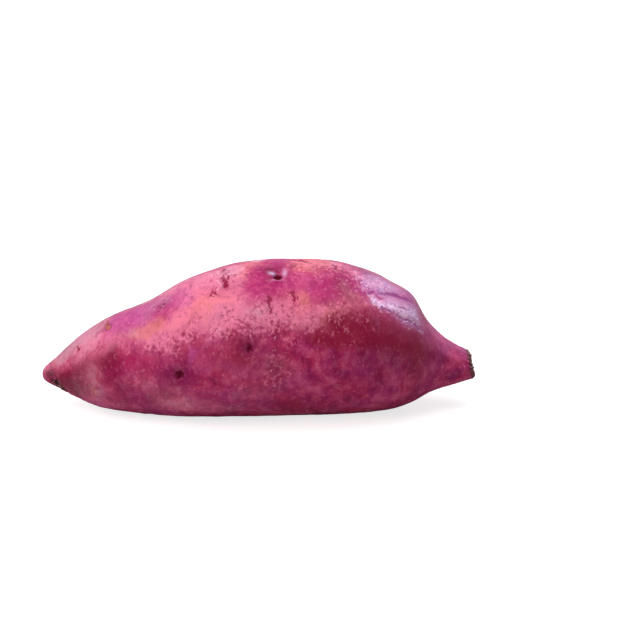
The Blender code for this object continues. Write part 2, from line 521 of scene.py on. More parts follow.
def hidden_patches(count):
    """Patches for the hidden side, drawn by lot, of the same sizes as the others."""
    patches = []
    for index in range(count):
        place = PATCHES_FROM + (LENGTH - PATCHLESS) * (index + draw.random()) / count
        degrees = draw.uniform(HIDDEN_FROM, HIDDEN_TO)
        reach = draw.uniform(*HIDDEN_REACHES)
        across = reach * draw.uniform(*HIDDEN_SHAPES)
        tilt = draw.uniform(*HIDDEN_TILTS)
        patches.append((place, degrees, reach, across, draw.uniform(*HIDDEN_STRENGTHS), tilt))
    return patches


def spread(name, hidden_count, patches):
    """Makes a mask of patches: along, degrees round, reach along, reach round, strength, and any tilt."""
    total = np.zeros(len(points))
    for patch in [*patches, *hidden_patches(hidden_count)]:
        total += wavering(*patch)
    masks[name] = held(total)
    print(name, len(patches), "patches, covers", round(float(masks[name].mean()), 3))


# %% [markdown]
# The reds and purples come first. They are the colours of whole skin.

# %% Reds and purples
spread("crimson", 8, (
    (36, 71, 8, 7, 1.0), (84, 21, 2.4, 6, 0.8), (138, 66, 5, 4, 0.9), (33, 84, 6, 7, 0.6),
    (23, 66, 6, 6, 0.7), (16, 80, 6, 5, 0.6), (46, 84, 9, 6, 0.4), (104, 72, 9, 5, 0.6),
    (126, 71, 10, 5, 0.7), (84, 80, 10, 5, 0.7), (66, 80, 12, 5, 0.4), (10, 88, 4, 5, 1.0),
    (113, 128, 5, 5, 0.7), (145, 54, 14, 8, 0.9), (161, 57, 10, 8, 1.0), (28, 64, 9, 6, 0.5),
    (12, 42, 4, 7, 0.9), (28, 80, 4, 5, 0.4), (54, 80, 8, 5, 0.4), (68, 86, 5, 4, 0.3),
    (94, 82, 8, 5, 0.35), (123, 66, 4, 3, 0.5), (146, -8, 11, 4, 0.9), (171, 42, 4, 7, 0.7),
    (167, 46, 6, 6, 1.0), (160, 66, 6, 4, 0.5), (151, 58, 3, 2.5, 0.8), (147, 67, 8, 4, 0.6),
    (161, 52, 6, 5, 0.5), (33, 126, 5, 4, 0.3), (139, 66, 6, 4, 0.4), (164, 58, 5, 5, 0.4),
))
spread("magenta", 7, (
    (99, 24, 4.5, 13, 1.3), (106, 4, 8, 9, 1.2), (107, 32, 7, 7, 1.2), (124, 32, 8, 7, 0.6),
    (135, 33, 7, 8, 1.1), (56, 27, 4, 4, 0.9), (60, 44, 6, 3, 0.5), (37, 84, 9, 6, 0.5),
    (60, 88, 12, 5, 0.3), (158, 20, 12, 14, 0.5), (112, 42, 7, 4, 0.5), (128, 40, 8, 5, 0.6),
    (48, 124, 6, 4, 0.8), (138, 27, 3, 5, 0.6), (170, 27, 4, 14, 0.7), (56, 38, 5, 3, 0.9),
    (57, 27, 2.5, 5, 0.6), (115, 45, 4, 3, 0.4), (138, 36, 5, 6, 0.7), (104, 14, 6, 4, 0.5),
    (108, 34, 5, 4, 0.3), (70, 128, 5, 4, 0.3), (106, 31, 2.5, 2.5, 0.6), (13, 42, 4, 5, 0.35),
))
spread("violet", 5, (
    (38, 16, 9, 9, 0.9), (52, 24, 10, 11, 1.0), (50, 36, 8, 4, 0.7), (64, 22, 8, 9, 0.8),
    (60, 37, 6, 5, 1.0), (34, 30, 5, 6, 0.7), (152, 20, 10, 12, 0.8), (162, 32, 6, 8, 0.7),
    (108, 8, 4, 6, 0.6), (120, 36, 5, 4, 0.5), (44, 122, 12, 7, 0.4), (88, 118, 14, 7, 0.3),
    (71, 79, 2.5, 2.5, 0.8), (30, 146, 14, 4, 0.6), (57, 36, 5, 4, 0.6), (60, 44, 4, 3, 0.6),
    (69, 45, 4, 4, 0.4), (62, 40, 4, 4, 0.8), (53, 35, 5, 3, 0.5), (167, 34, 3, 8, 0.6),
))
spread("plum", 2, (
    (165, 10, 5, 11, 0.9), (172, 18, 4, 14, 0.4), (158, 13, 8, 4, 0.5, -25), (146, 1, 7, 5, 0.6),
    (158, 52, 3, 3, 0.5), (104, 3, 6, 5, 0.35), (52, 6, 12, 5, 0.5), (27, 5, 4, 4, 0.4),
    (99, 5, 4, 4, 0.25), (28, 34, 3, 4, 0.6), (156, 24, 4, 3, 0.5), (162, 20, 3, 4, 0.6),
    (166, 4, 4, 12, 0.8), (60, 5, 4, 4, 0.3), (28, 20, 4, 6, 0.2),
))

# %% [markdown]
# Next are the light places, where the outer cork is rubbed off or dry: pale pink, salmon, a greyish bloom
# and tan. Some of their patches are painted light instead: painted sheen along the crest, and painted
# highlights on the crest and on the edge of the wax.

# %% Rubbed and dry places
# pale pink where rubbed; the patches at 88.5 along on the crest and at 158 along on the wax edge are painted
# highlights
spread("pale_and_painted_highlight", 12, (
    (24, 12, 8, 8, 0.5), (36, 46, 5, 4, 0.6), (60, 10, 7, 5, 0.5), (75, 16, 8, 9, 0.95), (85, 8, 8, 6, 0.8),
    (90, 24, 5, 8, 0.6), (60, 56, 12, 9, 0.5), (78, 53, 13, 11, 0.65), (92, 50, 13, 11, 0.65),
    (104, 56, 10, 7, 0.55), (115, 59, 10, 7, 0.55), (124, 56, 8, 7, 0.45), (131, 58, 6, 6, 0.35),
    (57, 67, 8, 4, 0.25), (63, 122, 7, 4, 0.55), (96, 114, 7, 5, 0.3), (78, 138, 14, 3, 0.4),
    (62, 137, 9, 3, 0.3), (88, 137, 8, 3, 0.25), (36, 137, 6, 4, 0.4), (68, 24, 5, 6, 0.3),
    (26, 44, 6, 3.5, 0.7), (17, 60, 5, 3, 0.35), (83, 55, 5, 4, 0.35), (119, 57, 8, 5, 0.35),
    (86, 14, 6, 6, 0.4), (140, 11, 2.5, 4, 0.6), (125, 55, 8, 5, 0.35), (84, 55, 6, 4, 0.3),
    (145, 43, 6, 3, 0.5), (131.5, -4, 4, 2.5, 0.9, 20), (48, 100, 7, 5, 0.4), (3, 60, 4, 4, 0.5),
    (20, 50, 5, 5, 0.25), (130, 2, 8, 6, 0.25), (60, -2, 12, 7, 0.4), (55, 55, 7, 4, 0.5),
    (64, 55, 6, 4, 0.3), (131, 5, 4, 4, 0.4), (105, 98, 6, 9, 0.25), (44, 45, 4, 3, 0.4),
    (69, 45, 4, 4, 0.4), (84, 53, 4, 4, 0.4), (52, 105, 4, 4, 0.4), (68, 130, 5, 4, 0.4),
    (158, 42, 6, 3, 0.6), (12, 16, 4, 4, 0.3), (20, 80, 4, 5, 0.35), (83, 54, 4, 4, 0.4),
    (12, 66, 4, 4, 0.3), (28, 66, 4, 4, 0.3), (44, 64, 4, 3, 0.2), (24, 136, 5, 4, 0.3),
    (88.5, 14, 3, 4, 0.6), (133, 10, 3, 4, 0.7), (118, 26, 3.5, 4, 0.5), (118, 10, 3.5, 4, 0.5),
    (33, 50, 4, 4, 0.4), (158, 42, 4, 3, 0.5),
))
spread("salmon", 9, (
    (60, 53, 9, 4, 0.5, 12), (74, 44, 9, 6, 0.8), (84, 42, 8, 4, 0.5), (92, 14, 3, 8, 0.6),
    (94, 2, 4, 6, 0.6), (118, 5, 8, 8, 0.9), (127, -3, 8, 6, 0.7), (116, 50, 8, 5, 0.6),
    (138, 40, 6, 3, 0.7), (90, 88, 12, 5, 0.2), (115, 65, 4, 3, 0.4), (141, 46, 5, 3, 0.6),
    (136, 53, 6, 4, 0.4), (128, 59, 4, 4, 0.9), (136, 44, 3, 3, 0.5),
))
# a greyish bloom; the strips along the crest up to 70 along and the patch at 158 along are painted sheen
spread("bloom_and_painted_sheen", 6, (
    (18, 10, 12, 6, 1.0), (14, 18, 8, 4, 0.9), (40, 5, 8, 4, 0.1), (58, 4, 10, 4, 0.1),
    (158, 38, 8, 3.5, 0.8), (18.5, 118, 3.5, 5, 0.8), (46, -6, 14, 3, 0.6), (66, -5, 12, 3, 0.5),
    (27, 104, 5, 12, 0.6), (24, 10, 9, 9, 0.5), (99, 54, 5, 5, 0.6), (63, 128, 14, 3, 0.5),
))
# tan where dry; the patch at 96.8 along on the crest is a painted highlight
spread("tan_and_painted_highlight", 3, (
    (47, 47, 4.5, 2.4, 1.2, -6), (53, 48, 4.5, 2.4, 1.1, 8), (51, 51, 7, 3, 0.4), (78, 48, 1.6, 5, 0.6),
    (96.8, -6, 1.8, 4, 0.9), (118, 15, 3, 2.5, 0.5), (118, 46, 2.5, 2.5, 0.9), (139, 41, 2.5, 2, 0.7),
    (152, 57, 2.5, 2.0, 0.5), (27.2, 113, 1.2, 2.0, 1.2),
))

# %% [markdown]
# Bruises are dark, and so is painted shade on the low side of the thick end. A patch of negative strength
# leaves a hole in a pigment.
# Frost is the palest wash: dry skin on the chafed crest, and a painted highlight on the wax and at one spot
# of the crest.

# %% Dark places and frost
# bruises, and painted shade on the low side of the thick end, from 128 to 166 along
spread("deep_and_painted_shade", 4, (
    (128, 75, 9, 4, 0.7), (147, 67, 10, 6, 0.9), (156, 66, 9, 5, 0.6), (166, 66, 7, 6, 0.7),
    (103, 94, 7, 5, 0.3), (152, 88, 18, 11, 0.5), (11.5, 110, 3.2, 5.0, 1.6), (13.5, 98, 1.0, 3.5, 1.0),
    (5.0, 88, 1.0, 1.6, 1.2), (17, 106, 3.0, 6.0, 0.4), (10, 130, 8.0, 5.0, 0.6), (36, 90, 6, 8, 0.4),
    (36, 62, 6, 5, 0.25), (38, 84, 5, 5, 0.2), (21, 74, 6, 5, 0.35), (21, 98, 5, 10, 0.35),
    (30, 70, 6, 4, 0.4), (43, 118, 12, 7, 0.45), (53, 124, 6, 4, 0.3), (36, 66, 5, 5, 0.2),
    (87, 91, 8, 7, 0.25), (106, 93, 5, 5, 0.25), (62, 106, 7, 4, 0.25), (12, 118, 5, 6, 0.35),
    (84, 27, 1.5, 3.5, 0.9), (107, 19, 6, 9, 0.3), (134, 32, 7, 8, 0.4), (144, 65, 9, 5, 0.3),
    (12, 3, 4, 3, 0.2), (83, 4, 3, 4, 0.3), (103, 13, 6, 4, 0.3), (135, 34, 6, 8, 0.2),
    (139, 68, 7, 4, 0.9), (82, 36, 3, 3, 0.2), (64, 105, 5, 4, 0.2), (20, 96, 4, 8, 0.15),
    (166, 5, 4, 9, 0.4), (147, -8, 14, 6, 0.55), (12, 120, 5, 6, 0.3), (60, 84, 12, 4, 0.15),
    (12, 2, 4, 3, 0.2), (140, 66, 7, 4, 0.4), (28, 106, 5, 4, 0.15), (143, 69, 8, 3, 0.4),
    (22, 0, 10, 3, 0.25), (103, 17, 3.5, 10, 0.35), (136, 29, 6, 7, 0.3), (163, 66, 5, 5, 0.3),
    (43, 42, 4, 3.5, 0.25), (8, 90, 3, 5, 0.4), (48, 58, 4, 4, 0.25), (108, 90, 4, 5, 0.3),
    (147, 62, 2, 2, 0.6), (151, 58, 2, 1.6, 0.5), (158, 57, 2.5, 1.6, 0.5),
))
# garnet red, and painted shade on the low side of the thick end, from 113 to 166 along
spread("garnet_and_painted_shade", 4, (
    (137, 70, 7, 4.5, 1.0), (145, 63, 10, 8, 0.9), (158, 60, 10, 7, 0.9), (165, 66, 6, 6, 0.8),
    (128, 74, 9, 5, 0.8), (113, 69, 8, 4, 0.4), (113, 130, 4, 8, 0.8), (28, 66, 6, 4, 0.4),
    (88, 80, 7, 5, 0.3), (11, 88, 4, 3, 0.4), (157, 51, 3.5, 3, 0.9), (160, 64, 6, 5, 0.5),
    (169, 10, 4, 10, 0.4), (167, 16, 5, 6, 0.5), (171, 4, 5, 8, 0.6), (95, 86, 7, 10, 0.3),
    (162, 54, 5, 3.5, 0.6), (147, 58, 2.2, 1.8, -0.7), (155, 63, 2.5, 1.8, -0.6),
))
# dry skin on the crest, and a painted highlight on the wax and at 88.5 along on the crest
spread("frost_and_painted_highlight", 0, (
    (148, 40, 2.5, 1.8, 1.0), (157, 38.5, 6, 2.5, 0.9), (164, 34, 3, 4, 0.6), (131.5, -3, 3, 2, 0.5, 20),
    (84, 13, 5, 5, 0.4), (76, 15, 6, 6, 0.2), (52, 25, 6, 5, 0.3), (16, 17, 6, 3, 0.3),
    (147, 17, 6, 9, 0.25), (152, 11, 7, 6, 0.3), (159, 26, 5, 5, 0.2), (44, 45, 3, 2, 0.3),
    (83, 54, 4, 4, 0.2), (88.5, 14, 2, 3, 0.15), (58, 18, 4, 4, 0.35),
))

# %% [markdown]
# The last three aren't colours. They say how much of the skin is scratched, how much has dark scabs, and
# how much has chalky crumbs. A few chalky patches, on the crest and on the edge of the wax, give crumbs of
# painted highlight instead.

# %% Grainy places
spread("scratched", 9, (
    (58, 68, 14, 5, 0.7), (84, 70, 16, 6, 0.9), (110, 64, 14, 7, 0.9), (128, 58, 10, 7, 0.8),
    (88, 20, 10, 6, 0.5), (106, 98, 6, 10, 0.7), (122, 8, 12, 12, 0.7), (150, 50, 14, 4, 0.35),
    (142, 18, 14, 16, 0.8), (92, 52, 22, 7, 0.4),
))
spread("scabby", 9, (
    (84.2, 22, 1.7, 6.0, 1.3), (79.2, 34, 2.6, 2.6, 1.2), (83.3, 4, 1.2, 4.0, 0.8), (55, 27, 6, 5, 0.5),
    (103.2, 46, 1.0, 3.5, 1.0), (98, 54, 1.5, 1.5, 0.7), (118, 48, 4.0, 3.0, 0.9), (88, 76, 10, 6, 0.5),
    (128, 62, 12, 6, 0.45), (150, 48, 14, 3, 0.6), (14, 74, 6, 9, 0.4), (133, 13, 3, 2, 0.6),
    (60, 62, 10, 5, 0.3),
))
# chalky crumbs; the patches on the crest at 89.5 and 97 along and on the wax edge at 150 and 157 are painted
# highlight
spread("chalky_and_painted_highlight", 7, (
    (47, 31, 6, 5, 0.5), (80, 14, 4, 7, 1.0), (89.5, 14, 4, 6, 1.0), (97, -6, 1.5, 3, 1.0),
    (98, 50, 4, 4, 0.6), (131, 3, 3, 2, 0.9, 25), (150, 41, 8, 3, 0.8), (157, 38, 6, 3, 0.7),
    (106, 96, 5, 9, 0.5), (45, 100, 2, 3, 0.7), (64, 74, 4, 3, 0.5), (80, 66, 14, 5, 0.5),
    (112, 62, 12, 6, 0.5), (27.2, 113, 1.0, 1.6, 1.2),
))

# %% [markdown]
# The scars, the eye and the ends have masks already, from their relief. The glints on the lip of the eye
# and on a spot of the crest are painted highlights.

# %% Masks of the scars and the glints
# painted highlights: the glints on the lip of the eye and on the crest
PAINTED_GLINTS = (
    # strength, along, degrees round, reach along, reach round, tilt in degrees
    (0.95, 103.9, 18, 1.6, 1.0, 35),
    (0.65, 109.5, 18, 1.0, 3.0, 0),
    (0.50, 106.4, 27.2, 2.6, 0.5, 0),
    (0.90, 97.4, -6, 2.4, 1.3, 0),
)

masks.update(halo=scar_halo, core=scar_core, fold=folded, gash=gashed, hole=eye_hole, nick=nicked)
masks.update(crust=tip_crust, torn=end_face, pith=pith, fibres=end_face * held(0.5 + 0.5 * fibres))
masks["glint"] = np.maximum.reduce([strength * blob(*glint) for strength, *glint in PAINTED_GLINTS])
print("masks", ", ".join(masks))

# %% [markdown]
# ### Wax
#
# A coat of wax lies on the stem shoulder and mirrors the light there. It has gaps, it gets thinner
# towards the stem, and fine lines cross it where it cracked. One mask says where there is wax and another
# how thick it is. With one alone, it couldn't have both a crisp ragged edge and a thin coat.

# %% Wax
WAX_FROM, WAX_TO = 136.0, 174.0  # along
WAX_FADES = (9.0, 8.0)  # how far it takes to begin and to end
WAX_EDGE = (
    # along, and degrees round of its front edge
    (142, 35),
    (148, 41),
    (156, 44),
    (160, 42.5),
    (162.5, 38.5),
    (170, 32),
)
EDGE_FADE = 13.0  # degrees
BACK_EDGE = -60.0
BACK_FADE = 20.0
WAX_GAPS = (
    # as the patches of pigment
    (143, 1, 8, 5, 1.0),
    (139, 34, 4, 6, 1.0),
    (147, 31, 4, 3, 0.5),
    (157, 52, 7, 3, 0.9),
    (162, 50, 6, 4, 0.6),
)
THICKNESS = ((142, 1), (148.7, 0.82), (155.3, 0.68), (162, 0.42), (166.3, 0.5), (172, 0.35))
THIN_WAX = (
    # a negative strength is thicker wax
    (165, 6, 5, 11, 0.8),
    (150, -9, 10, 8, 0.8),
    (172, 14, 4, 14, 0.6),
    (158, 19, 7, 8, 0.4),
    (150, 2, 8, 5, 0.3),
    (160, 37, 8, 4, -0.6),
)
HATCHED = (
    (145, 26, 4, 10, 1.0),
    (157, 42, 9, 4, 0.9),
    (166, 36, 5, 7, 0.6),
)

waxed = held((along - WAX_FROM) / WAX_FADES[0]) * held((WAX_TO - along) / WAX_FADES[1])
front_edge = np.interp(along, *zip(*WAX_EDGE))
waxed *= held(0.5 + (front_edge - round_degrees) / EDGE_FADE) * held((round_degrees - BACK_EDGE) / BACK_FADE)
for gap in WAX_GAPS:
    waxed *= 1.0 - wavering(*gap)
wax_share = np.interp(along, *zip(*THICKNESS))
for patch in THIN_WAX:
    wax_share *= 1.0 - wavering(*patch)
masks["waxed"] = waxed
masks["wax_share"] = held(wax_share)
masks["hatched"] = held(sum(wavering(*patch) for patch in HATCHED))
print("wax on", round(float(waxed.mean()), 3), "of the points")

# %% Put the masks on the mesh
for name, values in masks.items():
    attribute = skin.data.attributes.new(name, "FLOAT", "POINT")
    attribute.data.foreach_set("value", values.astype(np.float32))
print(len(masks), "masks on the mesh")

# %% [markdown]
# ## Materials
#
# Colours are picked as sRGB hex values, as a paint chart gives them, and one function turns them to the
# linear numbers that the shader needs. Another adds a node with its links.

# %% Material helpers
SURFACE = "Principled BSDF"
FACTOR, FIRST, SECOND, RESULT = 0, 6, 7, 2  # a Mix node's colour sockets


def linear(hex_colour):
    """Linear RGBA of an sRGB hex colour."""
    channels = [int(hex_colour[place : place + 2], 16) / 255 for place in (1, 3, 5)]
    return (*[c / 12.92 if c <= 0.04045 else ((c + 0.055) / 1.055) ** 2.4 for c in channels], 1.0)


def add(tree, kind, inputs=None, **settings):
    """Adds a node. Inputs are values or other nodes' outputs, by socket; settings are the node's own."""
    node = tree.nodes.new(kind)
    for name, value in settings.items():
        setattr(node, name, value)
    for socket, value in (inputs or {}).items():
        if isinstance(value, bpy.types.NodeSocket):
            tree.links.new(value, node.inputs[socket])
        else:
            node.inputs[socket].default_value = value
    return node


def new_material(name):
    material = bpy.data.materials.new(name)
    material.use_nodes = True
    return material, material.node_tree, material.node_tree.nodes[SURFACE]


# %% [markdown]
# ### The skin
#
# Sweet potato skin is a thin cork layer over flesh full of red pigment, with wax on it in places. Its
# grain comes from noise textures on Object coordinates, so it keeps its size in millimetres. The grains
# run from half a millimetre to a centimetre. Skin cells are finer, but would not show in the render.

# %% Grains of the skin
skin_material, tree, surface = new_material("waxy_root_skin")
place = add(tree, "ShaderNodeTexCoord").outputs["Object"]
mark = {name: add(tree, "ShaderNodeAttribute", attribute_name=name).outputs["Fac"] for name in masks}


def per_mm(size):
    """A texture's scale for grains of a size in millimetres."""
    return 1.0 / (size * MM)


def grains(size, detail=2.0, rough=0.6, long=1.0, wide=1.0, distortion=0.0, shift=0.0, start=place):
    """Soft grains of a size in millimetres, times long along the root and times wide across it."""
    scale = [1.0 / long, 1.0 / wide, 1.0 / wide]
    moved = add(tree, "ShaderNodeMapping", {"Vector": start, "Scale": scale, "Location": [shift * MM] * 3})
    settings = {
        "Vector": moved.outputs[0],
        "Scale": per_mm(size),
        "Detail": detail,
        "Roughness": rough,
        "Distortion": distortion,
    }
    return add(tree, "ShaderNodeTexNoise", settings).outputs[0]


strokes = grains(1.3, detail=1.5, rough=0.5, wide=1.2, distortion=0.5)
streaks = grains(2.6, detail=2.5, rough=0.55, wide=1.2, distortion=0.6, shift=31.0)
blotches = grains(3.4, detail=2.5, rough=0.55, wide=1.3, distortion=0.6, shift=111.0)
clouds = grains(8.0, detail=3.5, distortion=0.4)
hues = grains(11.0, detail=4.0, distortion=0.4, shift=57.0)
clumps = grains(4.5, detail=3.0, shift=91.0)
crumbs = grains(0.9, wide=1.3, distortion=0.5, shift=61.0)
flakes = grains(0.9, wide=1.4, distortion=0.5, shift=43.0)
grit = grains(0.5, rough=0.7, shift=17.0)
scabs = grains(1.5, wide=1.4, distortion=0.6, shift=83.0)
chalk = grains(1.5, wide=1.4, distortion=0.5, shift=29.0)
LEAN = math.radians(-40)  # the fine lines in the wax run aslant
leaning = add(tree, "ShaderNodeMapping", {"Vector": place, "Rotation": [0.0, 0.0, LEAN]}).outputs[0]
lines = grains(1.7, detail=3.0, long=2.6, distortion=1.0, shift=71.0, start=leaning)
print("nodes", len(tree.nodes))

# %% [markdown]
# A threshold turns soft grain to spots. A ragged mask is a mask whose edge a grain has broken up.

# %% Recipes for colours


def summed(*parts):
    """The sum of parts, each times its share. A share is a number or a mask."""
    total = 0.0
    for part, share in parts:
        weighted = add(tree, "ShaderNodeMath", {0: part, 1: share}, operation="MULTIPLY").outputs[0]
        total = add(tree, "ShaderNodeMath", {0: total, 1: weighted}, operation="ADD").outputs[0]
    return total


def past(value, low, high, within=1.0):
    """0 at low, 1 at high, smooth in between and flat beyond, and only as far as the mask within goes."""
    step = add(tree, "ShaderNodeMapRange", {0: value, 1: low, 2: high}, interpolation_type="SMOOTHSTEP")
    return add(tree, "ShaderNodeMath", {0: step.outputs[0], 1: within}, operation="MULTIPLY").outputs[0]


def frayed(mask, grain, sway):
    """A mask that a grain pushes up and down."""
    swing = add(tree, "ShaderNodeMath", {0: grain, 1: 0.5}, operation="SUBTRACT").outputs[0]
    return summed((mask, 1.0), (swing, sway))


def ragged(name, grain, sway, low, high):
    """A mask with its edge broken up by a grain, and still nothing where the mask is 0."""
    return past(frayed(mark[name], grain, sway), low, high, past(mark[name], 0.0, 0.15))


def cover(under, hex_colour, factor, strength):
    """Lays a colour over another by a factor."""
    share = add(tree, "ShaderNodeMath", {0: factor, 1: strength}, operation="MULTIPLY").outputs[0]
    inputs = {FACTOR: share, FIRST: under, SECOND: linear(hex_colour)}
    return add(tree, "ShaderNodeMix", inputs, data_type="RGBA").outputs[RESULT]


mixed = summed((strokes, 0.5), (streaks, 0.5))

# %% [markdown]
# ### Colours
#
# The ground is a magenta that drifts towards red. Each pigment is laid over it twice, as a soft wash and
# as a ragged layer, because real pigment is dense in some cells and thin in others. Whole skin comes
# first, then the rubbed places, the bruises, and last the frost.

# %% Ground and pigments
hue_shift = {FACTOR: past(hues, 0.38, 0.62), FIRST: linear("#AC2E6C"), SECOND: linear("#B82C5C")}
colour = add(tree, "ShaderNodeMix", hue_shift, data_type="RGBA").outputs[RESULT]
colour = cover(colour, "#DC6088", past(clouds, 0.48, 0.66), 0.5)
colour = cover(colour, "#7C0C46", past(clouds, 0.52, 0.36), 0.55)

PIGMENTS = (
    # mask, colour, grain, strength of the wash and of the ragged layer, sway of the grain
    ("crimson", "#AC1A46", streaks, 0.4, 0.4, 2.0),
    ("violet", "#CE5AA2", mixed, 0.4, 0.4, 2.0),
    ("plum", "#84206A", mixed, 0.5, 0.35, 2.0),
    ("pale_and_painted_highlight", "#F98CAE", mixed, 0.6, 0.3, 3.0),
    ("magenta", "#B81E6C", streaks, 0.6, 0.3, 2.0),
    ("salmon", "#F4868C", mixed, 0.5, 0.35, 3.0),
    ("bloom_and_painted_sheen", "#DCA2B4", streaks, 0.4, 0.3, 2.0),
    ("tan_and_painted_highlight", "#E4847C", streaks, 0.6, 0.15, 1.6),
    ("deep_and_painted_shade", "#60061F", mixed, 0.55, 0.4, 2.0),
    ("garnet_and_painted_shade", "#981234", mixed, 0.55, 0.35, 2.0),
    ("frost_and_painted_highlight", "#E6CCEA", mixed, 0.4, 0.4, 2.0),
)
for name, pigment, grain, soft, rough, sway in PIGMENTS:
    colour = cover(colour, pigment, mark[name], soft)
    colour = cover(colour, pigment, ragged(name, grain, sway, 0.35, 0.75), rough)
# painted shade round the root scars
colour = cover(colour, "#741444", mark["halo"], 0.75)
print("pigments", len(PIGMENTS))

# %% [markdown]
# The cork is thicker in spots, from the size of a lentil down to a grain of salt. Thick cork is paler,
# and thin cork shows the dark red of the flesh. Scratched skin has more of both, and the garnet, with the
# painted shade on the low side, has fewer pale spots.

# %% Mottling and scratches
scratched = ragged("scratched", clumps, 3.0, 0.2, 0.9)
grainy = add(tree, "ShaderNodeMapRange", {0: scratched, 3: 0.55, 4: 1.25}).outputs[0]
light_side = add(tree, "ShaderNodeMapRange", {0: mark["garnet_and_painted_shade"], 3: 1.0, 4: 0.3}).outputs[0]
paler = summed((light_side, grainy))
MOTTLES = (
    # grain, level of the grain at which a spot begins, strength
    (blotches, 0.53, 0.09),
    (blotches, 0.59, 0.15),
    (mixed, 0.54, 0.14),
    (mixed, 0.60, 0.24),
)
for grain, level, strength in MOTTLES:
    colour = cover(colour, "#F484A8", past(grain, level, level + 0.02, paler), strength)
    colour = cover(colour, "#860C42", past(grain, 1.0 - level, 0.98 - level, grainy), strength * 1.15)
colour = cover(colour, "#F68CAA", past(strokes, 0.57, 0.61, scratched), 0.34)
colour = cover(colour, "#840C40", past(strokes, 0.43, 0.39, scratched), 0.34)
print("nodes", len(tree.nodes))

# %% [markdown]
# On top lie chalky crumbs of dead cork, dark scabs, and lenticels, the round breathing pores of the skin.
# Pores stand apart from each other, so they come from a cell pattern and not from noise.

# %% Crumbs, scabs and pores
DOT = 0.42  # radius of a pore


def strewn(name, grain, rare, common):
    """Small crumbs: hardly any where the mask is 0, and a good share of the skin where it is 1."""
    threshold = add(tree, "ShaderNodeMapRange", {0: mark[name], 3: rare, 4: common}).outputs[0]
    above = add(tree, "ShaderNodeMath", {0: grain, 1: threshold}, operation="SUBTRACT").outputs[0]
    return past(above, 0.0, 0.04)


def dots(size, share, shift):
    """Round spots, one in every cell of a size in millimetres; share is how many of the cells have one."""
    moved = add(tree, "ShaderNodeMapping", {"Vector": place, "Location": [shift * MM] * 3})
    cells = add(tree, "ShaderNodeTexVoronoi", {"Vector": moved.outputs[0], "Scale": per_mm(size)})
    lot = add(tree, "ShaderNodeSeparateColor", {0: cells.outputs["Color"]}).outputs[0]
    chosen = add(tree, "ShaderNodeMath", {0: lot, 1: share}, operation="LESS_THAN").outputs[0]
    return past(cells.outputs["Distance"], DOT / size, 0.6 * DOT / size, chosen)


# chalky crumbs, and on the crest and the wax edge crumbs of painted highlight
colour = cover(colour, "#FFB8CC", strewn("chalky_and_painted_highlight", chalk, 0.74, 0.53), 0.65)
colour = cover(colour, "#8E0838", strewn("scabby", scabs, 0.74, 0.49), 0.85)
colour = cover(colour, "#860A38", dots(3.4, 0.22, shift=9.0), 0.65)
colour = cover(colour, "#E88CA0", dots(4.4, 0.35, shift=53.0), 0.5)
flecked = ragged("scratched", clouds, 3.0, 0.5, 0.8)
colour = cover(colour, "#E08C70", summed((dots(3.2, 0.3, shift=23.0), flecked)), 0.55)
print("nodes", len(tree.nodes))

# %% [markdown]
# The scars get dark colours: the rim and tan middle of the nicks, and the gashes. The folds and the cores
# of the root scars get painted shade, the cores in two tones. The lip of the eye gets a painted highlight,
# and its hole painted shade, nearly black red.

# %% Colours of the scars and the eye
nick = frayed(mark["nick"], mixed, 1.5)
colour = cover(colour, "#7E1A3A", past(nick, 0.2, 0.6, mark["nick"]), 0.95)
colour = cover(colour, "#C06E58", past(nick, 0.66, 0.9), 0.85)
SCAR_COLOURS = (
    # mask, colour, sway of the crumbs, where it begins and is full, strength
    # painted shade in the folds
    ("fold", "#842270", 2.2, 0.35, 0.70, 0.75),
    ("gash", "#8A0636", 2.2, 0.30, 0.60, 0.85),
    # painted shade in the cores of the root scars, in two tones
    ("core", "#6A042A", 2.4, 0.15, 0.60, 0.85),
    ("core", "#5A001C", 2.6, 0.60, 0.95, 0.85),
)
for name, scar_colour, sway, low, high, strength in SCAR_COLOURS:
    colour = cover(colour, scar_colour, ragged(name, crumbs, sway, low, high), strength)
# painted highlights on the lip of the eye and on the crest
colour = cover(colour, "#ECC8F0", mark["glint"], 0.9)
# painted shade, nearly black red, inside the eye's hole
colour = cover(colour, "#70001A", past(mark["hole"], 0.05, 0.35), 0.97)
print("nodes", len(tree.nodes))

# %% [markdown]
# Fine cracks cross the wax. The middle level of a noise is a set of thin winding lines, so the cracks are
# where the noise is close to a half. Its high spots give pale ticks beside them.

# %% Fine lines in the wax
off_middle = add(tree, "ShaderNodeMath", {0: lines, 1: 0.5}, operation="SUBTRACT").outputs[0]
contour = add(tree, "ShaderNodeMath", {0: off_middle}, operation="ABSOLUTE").outputs[0]
cracked = add(tree, "ShaderNodeMapRange", {0: mark["hatched"], 3: 0.2, 4: 1.0}).outputs[0]
hatching = past(contour, 0.07, 0.02, cracked)
colour = cover(colour, "#842270", summed((hatching, mark["hatched"])), 0.6)
colour = cover(colour, "#F4D0F0", past(lines, 0.60, 0.64, mark["hatched"]), 0.6)
print("nodes", len(tree.nodes))

# %% [markdown]
# Last come the two ends: the black crust of the tip with its tan flakes, and the brown torn fibre with the
# cream pith.

# %% Colours of the ends
crust = ragged("crust", crumbs, 3.0, 0.42, 0.62)
colour = cover(colour, "#26060A", crust, 0.95)
colour = cover(colour, "#DC9A80", past(flakes, 0.58, 0.64, crust), 0.8)
colour = cover(colour, "#4A1A20", ragged("torn", grit, 0.6, 0.2, 0.6), 0.9)
colour = cover(colour, "#A87458", past(grit, 0.42, 0.56, mark["fibres"]), 0.7)
colour = cover(colour, "#D8BC98", past(crumbs, 0.44, 0.58, mark["pith"]), 0.8)
tree.links.new(colour, surface.inputs["Base Color"])
print("nodes", len(tree.nodes))

